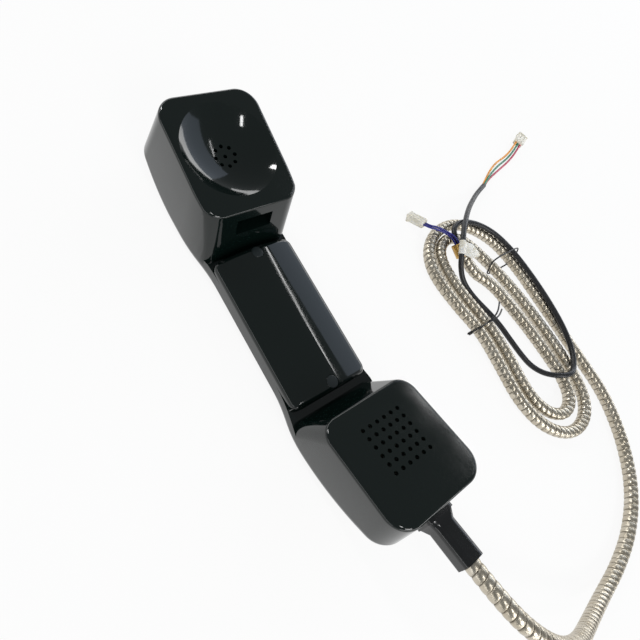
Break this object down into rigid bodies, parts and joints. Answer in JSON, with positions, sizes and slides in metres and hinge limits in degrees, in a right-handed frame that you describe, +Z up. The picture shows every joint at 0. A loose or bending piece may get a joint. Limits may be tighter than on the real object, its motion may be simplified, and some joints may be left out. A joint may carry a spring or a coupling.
{
  "type": "telephone handset",
  "caption": "Heavy-duty telephone handset with square ear and mouth caps, a moulded grip and an armoured cord tied in a hank, with loose wires at its end.",
  "frame": {"origin": "middle of the handset's plan at the height of the table, which its flat back rests on", "axes": "+X from the ear cap towards the mouth cap, +Z up, out of the face with the dish and the hole grid, and +Y towards the hank of cord"},
  "size_m": [0.3184, 0.3119, 0.0528],
  "materials": {
    "black_abs": "polished black moulding",
    "plug_plastic": "polished black button",
    "seal_rubber": "soft black rubber",
    "boot_rubber": "smooth black rubber",
    "foam": "dark grey foam",
    "dust_cloth": "black woven cloth",
    "splash_film": "thin pale film",
    "capsule_tin": "bright tin",
    "plate_steel": "zinc-plated steel",
    "screw_steel": "zinc-plated steel",
    "brass_fitting": "dull brass",
    "hose_steel": "warm grey interlocked stainless strip",
    "lanyard_steel": "stranded steel",
    "lead_red": "red insulation",
    "lead_white": "white insulation",
    "lead_green": "green insulation",
    "lead_black": "black insulation",
    "cable_jacket": "dark grey jacket",
    "wire_orange": "orange insulation",
    "wire_green": "green insulation",
    "wire_red": "red insulation",
    "wire_blue": "blue insulation",
    "housing_nylon": "off-white nylon",
    "tag_vinyl": "off-white film, blank",
    "tie_black": "black covered wire"
  },
  "bodies": {
    "root": {"handle_shell": "black_abs", "ear_cap": "black_abs", "mouth_cap": "black_abs", "ear_cap_seal": "seal_rubber", "mouth_cap_seal": "seal_rubber", "receiver_gasket": "foam", "receiver_membrane": "dust_cloth", "receiver_capsule": "capsule_tin", "receiver_retainer": "plate_steel", "receiver_screws": "screw_steel", "microphone_membrane": "splash_film", "microphone_gasket": "foam", "microphone_capsule": "capsule_tin", "microphone_retainer": "plate_steel", "microphone_screws": "screw_steel", "ear_cap_screw": "screw_steel", "mouth_cap_screw": "screw_steel", "ear_end_plug": "plug_plastic", "mouth_end_plug": "plug_plastic", "weight_pad": "foam", "balance_weight": "plate_steel", "cord_boot": "boot_rubber", "cord_anchor": "plate_steel", "anchor_screws": "screw_steel", "cord_stop": "brass_fitting", "hose_end": "hose_steel", "lanyard": "lanyard_steel", "lanyard_eyelet": "brass_fitting", "lanyard_screw": "screw_steel", "receiver_lead_one": "lead_red", "receiver_lead_two": "lead_white", "microphone_lead_one": "lead_green", "microphone_lead_two": "lead_black", "hose_run": "hose_steel", "hose_hank": "hose_steel", "hose_tail": "hose_steel", "hose_ferrule": "brass_fitting", "signal_cable": "cable_jacket", "orange_wire": "wire_orange", "green_wire": "wire_green", "red_wire": "wire_red", "wire_housing": "housing_nylon", "blue_wire_one": "wire_blue", "blue_wire_two": "wire_blue", "blue_housing": "housing_nylon", "cable_tag": "tag_vinyl", "near_tie": "tie_black", "far_tie": "tie_black"}
  },
  "joints": []
}
